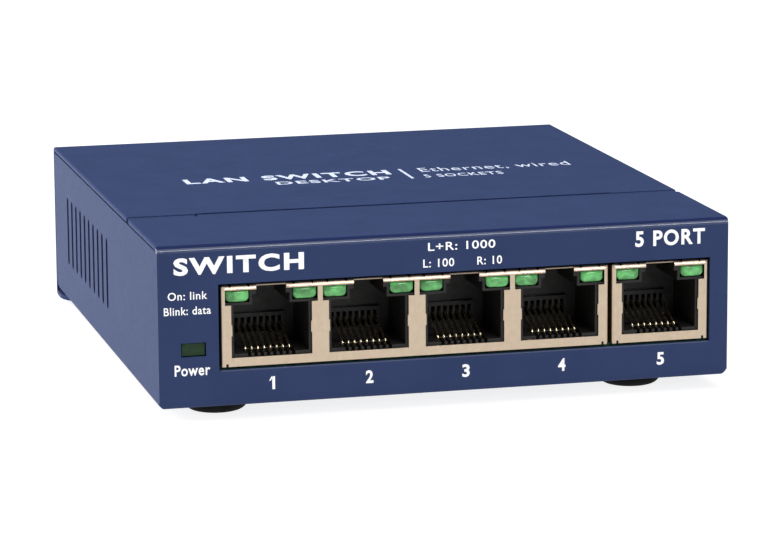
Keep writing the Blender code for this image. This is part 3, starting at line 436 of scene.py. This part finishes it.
on_lid = Matrix.Translation((left, front, lid_top))
lid_shape = bmesh.new()
add_words(lid_shape, "LAN SWITCH", (15.6, 51.7), (54.6, 59.2), on_lid, bold=0.035, spacing=1.2)
add_words(lid_shape, "DESKTOP", (30.5, 50.5), (49.8, 52.6), on_lid, bold=0.02, spacing=1.15)
add_words(lid_shape, "|", (53.9, 54.4), (49.6, 59.4), on_lid, bold=0)
add_words(lid_shape, "Ethernet, wired", (57.3, 84.4), (54.9, 59.4), on_lid, bold=0)
add_words(lid_shape, "5 SOCKETS", (56.6, 70.6), (49.8, 52.6), on_lid, bold=0.012, spacing=1.15)
shown("lid_print", lid_shape, lid_ink)


# ---- Socket shields ----------------------------------------------------------------------------
# Tin-plated steel sheet, 0.25 mm thick, cut out and folded into a box over four sockets and one
# over the fifth, with small V nicks that ease the top fold. The plating has a warm tint, and the cut
# and rolled edges shine.

PORT_PITCH = 15.79 * MM
SHIELD_SHEET = 0.25 * MM
SHIELD_EDGE = 0.12 * MM
SHIELD_EDGE_STEPS = 3
TOP_FOLD = 0.95 * MM
SIDE_FOLD = 0.42 * MM
FOLD_STEPS = 6

# The cut-out for a socket and its lights, from its middle and up from the shield's lower edge
CUT_DEPTH = 0.76 * MM
OPENING_HALF = 6.51 * MM
OPENING_UP = (1.4 * MM, 9.85 * MM)
GROUND_TAB_HALF = 6.36 * MM
GROUND_TAB_UP = (4.9 * MM, 6.7 * MM)
LIGHT_HALF = 7.485 * MM
LIGHT_UP = 12.25 * MM
LATCH_HALF = 2.4 * MM
LATCH_UP = 12.95 * MM

# The slot in each lower corner, in from the shield's side, and the nicks in the top fold
RELIEF_ACROSS = (0.78 * MM, 1.15 * MM)
RELIEF_UP = 0.45 * MM
NICK_MIDDLES = (-6.65 * MM, -3.65 * MM, 3.65 * MM, 6.65 * MM)
NICK_HALF = 0.3 * MM
NICK_DEPTH = 0.55 * MM
NICK_REACH = 3 * MM

PLATING = (0.53, 0.425, 0.32)

plating, plating_shader = surface("warm_tin_plating", PLATING, metallic=1, roughness=0.3)
tinted(plating, plating_shader, noise(plating, 1.2 * MM), shade(PLATING, 0.96), shade(PLATING, 1.05))
mottled(plating, plating_shader, noise(plating, 0.3 * MM, (1, 1, 0.08)), 0.26, 0.38)
raised(plating, plating_shader, noise(plating, 0.15 * MM, (1, 1, 0.05)), 0.002 * MM)


def everything(shape):
    return shape.verts[:] + shape.edges[:] + shape.faces[:]


def scored(shape, axis, values):
    """Cuts every face along planes square to an axis."""
    normal = Vector((0, 0, 0))
    normal[axis] = 1
    for value in values:
        bmesh.ops.bisect_plane(
            shape, geom=everything(shape), plane_co=normal * value, plane_no=normal, dist=SAME_PLACE
        )


def knocked_out(shape, unwanted):
    """Removes the faces whose middle is in the unwanted area."""
    gone = [face for face in shape.faces if unwanted(face.calc_center_median())]
    bmesh.ops.delete(shape, geom=gone, context="FACES")


def rim(shape, chosen):
    """The open edges whose two ends are both chosen by their place."""
    return [edge for edge in shape.edges if edge.is_boundary and all(chosen(v.co) for v in edge.verts)]


def pushed(shape, edges, travel):
    """Carries a row of edges straight on, and returns the edges and the points that it ends in."""
    made = bmesh.ops.extrude_edge_only(shape, edges=edges)["geom"]
    bmesh.ops.translate(shape, verts=[v for v in made if isinstance(v, bmesh.types.BMVert)], vec=travel)
    return made


def swept(shape, edges, pivot, axis, angle, steps):
    """Carries a row of edges round an axis through a point, and returns the edges that it ends in."""
    points = list(dict.fromkeys(vertex for edge in edges for vertex in edge.verts))
    made = bmesh.ops.spin(
        shape, geom=points + edges, cent=pivot, axis=axis, angle=angle, steps=steps, use_duplicate=False
    )["geom_last"]
    return [part for part in made if isinstance(part, bmesh.types.BMEdge)]


def folded_back(shape, edges, pivot, axis, angle, reach):
    """Bends a strip of sheet from these edges, and carries it on towards the back."""
    pushed(shape, swept(shape, edges, pivot, axis, angle, FOLD_STEPS), (0, reach, 0))


def in_opening(across, up):
    """Whether a point, from a socket's middle and the shield's lower edge, is in the cut-out."""
    across = abs(across)
    if OPENING_UP[0] < up < OPENING_UP[1]:
        on_tab = GROUND_TAB_UP[0] < up < GROUND_TAB_UP[1] and across > GROUND_TAB_HALF
        return across < OPENING_HALF and not on_tab
    if OPENING_UP[1] < up < LIGHT_UP:
        return across < LIGHT_HALF
    return LIGHT_UP < up < LATCH_UP and across < LATCH_HALF


def shield(node, name, sockets):
    """The shield over a row of sockets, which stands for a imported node."""
    low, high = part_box(node)
    first = (low.x + high.x) / 2 - (sockets - 1) / 2 * PORT_PITCH
    middles = [first + i * PORT_PITCH for i in range(sockets)]
    left_bend = low.x + SIDE_FOLD
    right_bend = high.x - SIDE_FOLD
    top_bend = high.z - TOP_FOLD
    depth = high.y - low.y

    shape = bmesh.new()
    bmesh.ops.create_grid(shape, x_segments=1, y_segments=1, size=0.5)
    bmesh.ops.transform(
        shape,
        verts=shape.verts,
        matrix=Matrix.Translation(((left_bend + right_bend) / 2, low.y, (low.z + top_bend) / 2))
        @ Matrix.Rotation(math.pi / 2, 4, "X")
        @ Matrix.Diagonal((right_bend - left_bend, top_bend - low.z, 1, 1)),
    )
    edges = rim(shape, lambda co: co.z > top_bend - SAME_PLACE)
    pivot = (0, low.y + TOP_FOLD, top_bend)
    folded_back(shape, edges, pivot, (1, 0, 0), -math.pi / 2, depth - TOP_FOLD)
    for bend, way in ((left_bend, -1), (right_bend, 1)):
        edges = rim(shape, lambda co: abs(co.x - bend) < SAME_PLACE and co.z < top_bend + SAME_PLACE)
        pivot = (bend, low.y + SIDE_FOLD, 0)
        folded_back(shape, edges, pivot, (0, 0, 1), way * math.pi / 2, depth - SIDE_FOLD)
        tops = rim(
            shape, lambda co: (co.x - bend) * way > -SAME_PLACE and abs(co.z - top_bend) < SAME_PLACE
        )
        pushed(shape, tops, (0, 0, TOP_FOLD - SHIELD_SHEET))

    halves = (OPENING_HALF, GROUND_TAB_HALF, LIGHT_HALF, LATCH_HALF)
    scored(shape, 0, [x + way * half for x in middles for half in halves for way in (-1, 1)])
    scored(shape, 0, [end for reach in RELIEF_ACROSS for end in (low.x + reach, high.x - reach)])
    heights = (*OPENING_UP, *GROUND_TAB_UP, LIGHT_UP, LATCH_UP, RELIEF_UP)
    scored(shape, 2, [low.z + up for up in heights])

    def unwanted(co):
        if co.y > low.y + CUT_DEPTH or not left_bend < co.x < right_bend:
            return False
        edge = min(co.x - low.x, high.x - co.x)
        if co.z < low.z + RELIEF_UP and RELIEF_ACROSS[0] < edge < RELIEF_ACROSS[1]:
            return True
        return any(in_opening(co.x - x, co.z - low.z) for x in middles)

    knocked_out(shape, unwanted)
    scored(shape, 1, [low.y + NICK_REACH])
    nicks = [x + offset for x in middles for offset in NICK_MIDDLES]
    apex = high.z - NICK_DEPTH
    slope = NICK_HALF / NICK_DEPTH
    for x in nicks:
        for way in (-1, 1):
            near = [
                face
                for face in shape.faces
                if min(abs(v.co.x - x) for v in face.verts) < PORT_PITCH
                and face.calc_center_median().z > top_bend
                and face.calc_center_median().y < low.y + NICK_REACH
            ]
            geom = list(dict.fromkeys(part for face in near for part in (face, *face.edges, *face.verts)))
            bmesh.ops.bisect_plane(
                shape, geom=geom, plane_co=(x, 0, apex), plane_no=(1, 0, way * slope), dist=SAME_PLACE
            )
    knocked_out(
        shape,
        lambda co: co.y < low.y + NICK_REACH and any(abs(co.x - x) < (co.z - apex) * slope for x in nicks),
    )
    bmesh.ops.remove_doubles(shape, verts=shape.verts, dist=SAME_PLACE)
    piece = shown(name, shape, plating)
    sheet = piece.modifiers.new("sheet", "SOLIDIFY")
    sheet.thickness = SHIELD_SHEET
    sheet.offset = -1
    eased(piece, SHIELD_EDGE, SHIELD_EDGE_STEPS)
    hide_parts(node)


shield("jack_shield_1_to_4", "socket_shield_1_to_4", 4)
shield("jack_shield_5", "socket_shield_5", 1)


# ---- Socket inserts ----------------------------------------------------------------------------
# Black glass-filled plastic mouldings: the plug's way in, the latch's channel with its two
# catches, the slotted lip in front of the contacts and the comb that their ends lie in.

MOULDED = (0.0105, 0.0095, 0.0090)
INSERT_EDGE = 0.06 * MM

moulded, moulded_shader = surface("black_moulding", MOULDED, metallic=0, roughness=0.5)
moulded_shader.inputs["Specular IOR Level"].default_value = 0.3
tinted(moulded, moulded_shader, noise(moulded, 2 * MM), shade(MOULDED, 0.8), shade(MOULDED, 1.3))
mottled(moulded, moulded_shader, noise(moulded, 0.4 * MM), 0.38, 0.6)
raised(moulded, moulded_shader, noise(moulded, 0.12 * MM), 0.003 * MM)

refined("jack_housing_1_to_4", "socket_insert_1_to_4", moulded, INSERT_EDGE)
refined("jack_housing_5", "socket_insert_5", moulded, INSERT_EDGE)


# ---- Contacts ----------------------------------------------------------------------------------
# Eight gold-plated round wires in each socket, bent back on themselves at the front and sloping up
# to the comb, with a moulded bar that holds them side by side at the bend.

WIRES = 8
WIRE_PITCH = 1.016 * MM
WIRE_RADIUS = 0.24 * MM
WIRE_BEND = 0.4 * MM
WIRE_SLOPE = math.radians(21)
WIRE_RUN = 7.97 * MM
WIRE_TAIL = 0.9 * MM
WIRE_SIDES = 10
WIRE_BEND_STEPS = 10
BAR_RADIUS = 0.19 * MM
BAR_SIDES = 16
BAR_EDGE = 0.06 * MM

gold, gold_shader = surface("gold_plating", (0.92, 0.78, 0.52), metallic=1, roughness=0.24)
tinted(gold, gold_shader, noise(gold, 0.6 * MM), (0.90, 0.74, 0.46), (0.95, 0.84, 0.62))
mottled(gold, gold_shader, noise(gold, 0.2 * MM), 0.2, 0.3)


def carried(shape, loop, travel):
    """Carries a loop of edges straight on."""
    made = pushed(shape, loop, travel)
    return [part for part in made if isinstance(part, bmesh.types.BMEdge) and part.is_boundary]


def contact_wire(x, y, z):
    """One wire, whose bend goes round a line along X through that point."""
    shape = bmesh.new()
    start = Matrix.Translation((x, y + WIRE_TAIL, z - WIRE_BEND)) @ Matrix.Rotation(math.pi / 2, 4, "X")
    bmesh.ops.create_circle(shape, cap_ends=False, segments=WIRE_SIDES, radius=WIRE_RADIUS, matrix=start)
    loop = carried(shape, shape.edges[:], (0, -WIRE_TAIL, 0))
    loop = [edge for edge in loop if all(abs(v.co.y - y) < SAME_PLACE for v in edge.verts)]
    loop = swept(shape, loop, (x, y, z), (1, 0, 0), -(math.pi - WIRE_SLOPE), WIRE_BEND_STEPS)
    carried(shape, loop, Vector((0, math.cos(WIRE_SLOPE), math.sin(WIRE_SLOPE))) * WIRE_RUN)
    bmesh.ops.remove_doubles(shape, verts=shape.verts, dist=SAME_PLACE)
    bmesh.ops.holes_fill(shape, edges=shape.edges[:], sides=WIRE_SIDES)
    bmesh.ops.recalc_face_normals(shape, faces=shape.faces[:])
    return shape


def rod(sides, radius, length, stand):
    """A closed cylinder along Z, before it is stood in its place."""
    shape = bmesh.new()
    bmesh.ops.create_cone(
        shape, cap_ends=True, segments=sides, radius1=radius, radius2=radius, depth=length, matrix=stand
    )
    return shape


for number in range(1, 6):
    low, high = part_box(f"contact_springs_{number}")
    pivot = [joint for joint in frame["joints"] if joint["name"] == f"contact_flex_{number}"][0]["pos_m"]
    wires = bmesh.new()
    for i in range(WIRES):
        wire = contact_wire(pivot[0] + (i - (WIRES - 1) / 2) * WIRE_PITCH, pivot[1], pivot[2])
        single = bpy.data.meshes.new("wire")
        wire.to_mesh(single)
        wire.free()
        wires.from_mesh(single)
        bpy.data.meshes.remove(single)
    piece = shown(f"contact_wires_{number}", wires, gold, f"contacts_{number}")
    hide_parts(f"contact_springs_{number}")

    lying = Matrix.Translation(pivot) @ Matrix.Rotation(math.pi / 2, 4, "Y")
    bar = rod(BAR_SIDES, BAR_RADIUS, high.x - low.x, lying)
    eased(shown(f"contact_bar_{number}", bar, moulded, f"contacts_{number}"), BAR_EDGE)


# ---- Light lenses ------------------------------------------------------------------------------
# Two clear green lenses over each socket, moulded with a rounded lower front edge, and one dark
# rectangular lens for the power light, let into its own window.

LENS = (0.11, 0.40, 0.12)
LENS_CORNER = 0.8 * MM
LENS_CORNER_STEPS = 6
LENS_BROW = 0.45 * MM
LENS_BROW_STEPS = 4



def rounded(shape, edges, radius, steps):
    """Rounds some of a shape's edges."""
    bmesh.ops.bevel(
        shape, geom=edges, offset=radius, segments=steps, profile=0.5, affect="EDGES", material=-1
    )


lens_finish, lens_shader = surface("green_lens", LENS, metallic=0, roughness=0.16)
lens_shader.inputs["Subsurface Weight"].default_value = 0.35
lens_shader.inputs["Subsurface Radius"].default_value = (0.3, 1.0, 0.3)
lens_shader.inputs["Subsurface Scale"].default_value = 0.6 * MM
tinted(lens_finish, lens_shader, noise(lens_finish, 1.1 * MM, detail=1), shade(LENS, 0.5), shade(LENS, 1.3))
raised(lens_finish, lens_shader, noise(lens_finish, 0.9 * MM), 0.02 * MM)

for number in range(1, 6):
    for side in ("left", "right"):
        node = f"port_light_{number}_{side}"
        low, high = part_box(node)
        shape = bmesh.new()
        bmesh.ops.create_cube(
            shape, size=1, matrix=Matrix.Translation((low + high) / 2) @ Matrix.Diagonal((*(high - low), 1))
        )
        lower = [
            edge
            for edge in shape.edges
            if all(v.co.z < low.z + SAME_PLACE for v in edge.verts)
            and abs(edge.verts[0].co.x - edge.verts[1].co.x) < SAME_PLACE
        ]
        rounded(shape, lower, LENS_CORNER, LENS_CORNER_STEPS)
        brow = [edge for edge in shape.edges if all(v.co.y < low.y + SAME_PLACE for v in edge.verts)]
        rounded(shape, brow, LENS_BROW, LENS_BROW_STEPS)
        piece = shown(f"light_lens_{number}_{side}", shape, lens_finish)
        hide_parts(node)

DARK_LENS = (0.013, 0.034, 0.013)
DARK_LENS_EDGE = 0.1 * MM

dark_lens, dark_shader = surface("dark_green_lens", DARK_LENS, metallic=0, roughness=0.25)
dark_shader.inputs["Specular IOR Level"].default_value = 0.15
tinted(dark_lens, dark_shader, noise(dark_lens, 1 * MM), shade(DARK_LENS, 0.85), shade(DARK_LENS, 1.15))
refined("power_light", "power_light_lens", dark_lens, DARK_LENS_EDGE)


# ---- Feet --------------------------------------------------------------------------------------
# Round black rubber pads with a domed edge, stuck to the underside.

RUBBER = (0.009, 0.009, 0.010)
FOOT_SIDES = 48
FOOT_DOME = 1.6 * MM
FOOT_DOME_STEPS = 8

rubber, rubber_shader = surface("black_rubber", RUBBER, metallic=0, roughness=0.7)
rubber_shader.inputs["IOR"].default_value = 1.12
tinted(rubber, rubber_shader, noise(rubber, 1.5 * MM), shade(RUBBER, 0.8), shade(RUBBER, 1.5))
mottled(rubber, rubber_shader, noise(rubber, 0.3 * MM), 0.6, 0.85)
raised(rubber, rubber_shader, noise(rubber, 0.2 * MM), 0.01 * MM)

for end in ("front", "back"):
    for side in ("left", "right"):
        low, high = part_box(f"foot_{end}_{side}")
        middle = (low + high) / 2
        shape = rod(FOOT_SIDES, (high.x - low.x) / 2, high.z - low.z, Matrix.Translation(middle))
        lower = [edge for edge in shape.edges if all(v.co.z < middle.z for v in edge.verts)]
        rounded(shape, lower, FOOT_DOME, FOOT_DOME_STEPS)
        piece = shown(f"rubber_foot_{end}_{side}", shape, rubber)
        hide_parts(f"foot_{end}_{side}")


# ---- Screws ------------------------------------------------------------------------------------
# Zinc-plated steel screws with cross recesses: two flat heads in the cover's return flange, and
# four pan heads that hold the board.

ZINC = (0.52, 0.53, 0.54)
SCREW_EDGE = 0.12 * MM

zinc, zinc_shader = surface("zinc_plated_steel", ZINC, metallic=1, roughness=0.35)
tinted(zinc, zinc_shader, noise(zinc, 0.8 * MM), shade(ZINC, 0.85), shade(ZINC, 1.1))
mottled(zinc, zinc_shader, noise(zinc, 0.3 * MM), 0.28, 0.45)


def dressed(made, names):
    """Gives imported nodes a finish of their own."""
    for name in names:
        nodes[name].data.materials.clear()
        nodes[name].data.materials.append(made)


for side in ("left", "right"):
    refined(f"cover_screw_{side}", f"cover_fixing_{side}", zinc, SCREW_EDGE)
dressed(zinc, [f"board_screw_{number}" for number in range(1, 5)])


# ---- DC inlet ----------------------------------------------------------------------------------
# A black moulded body on the board, its round nose showing in the back wall, with a plated pin.

INLET_EDGE = 0.15 * MM
PIN_EDGE = 0.05 * MM

refined("power_jack", "dc_inlet_body", moulded, INLET_EDGE)
refined("power_jack_pin", "dc_inlet_pin", plating, PIN_EDGE)


# ---- Circuit board and what is on it -----------------------------------------------------------
# A green board on four bosses, with the switch chip under a finned heat sink, a transformer block
# behind each socket and the supply's parts at the back. Little of it shows through the vents.

BOARD = (0.012, 0.07, 0.03)
PAD = (0.33, 0.34, 0.35)
METAL = (0.70, 0.71, 0.72)

solder_mask, mask_shader = surface("green_solder_mask", BOARD, metallic=0, roughness=0.35)
tracks = noise(solder_mask, 1.5 * MM, (1, 0.15, 1))
tinted(solder_mask, mask_shader, tracks, shade(BOARD, 0.7), shade(BOARD, 1.4))
raised(solder_mask, mask_shader, noise(solder_mask, 0.8 * MM), 0.02 * MM)

soft_pad, pad_shader = surface("heat_pad", PAD, metallic=0, roughness=0.85)
tinted(soft_pad, pad_shader, noise(soft_pad, 1 * MM), shade(PAD, 0.85), shade(PAD, 1.1))

drawn_metal, metal_shader = surface("plain_aluminium", METAL, metallic=1, roughness=0.35)
mottled(drawn_metal, metal_shader, noise(drawn_metal, 0.3 * MM, (1, 0.1, 1)), 0.25, 0.45)
raised(drawn_metal, metal_shader, noise(drawn_metal, 0.2 * MM, (1, 0.1, 1)), 0.003 * MM)

dressed(solder_mask, ["circuit_board"])
dressed(soft_pad, ["thermal_pad"])
dressed(drawn_metal, ["heat_sink", "crystal", "filter_capacitor_1", "filter_capacitor_2"])
dressed(moulded, [f"line_transformer_{number}" for number in range(1, 6)])
dressed(moulded, ["switch_chip", "inductor", "voltage_regulator"])
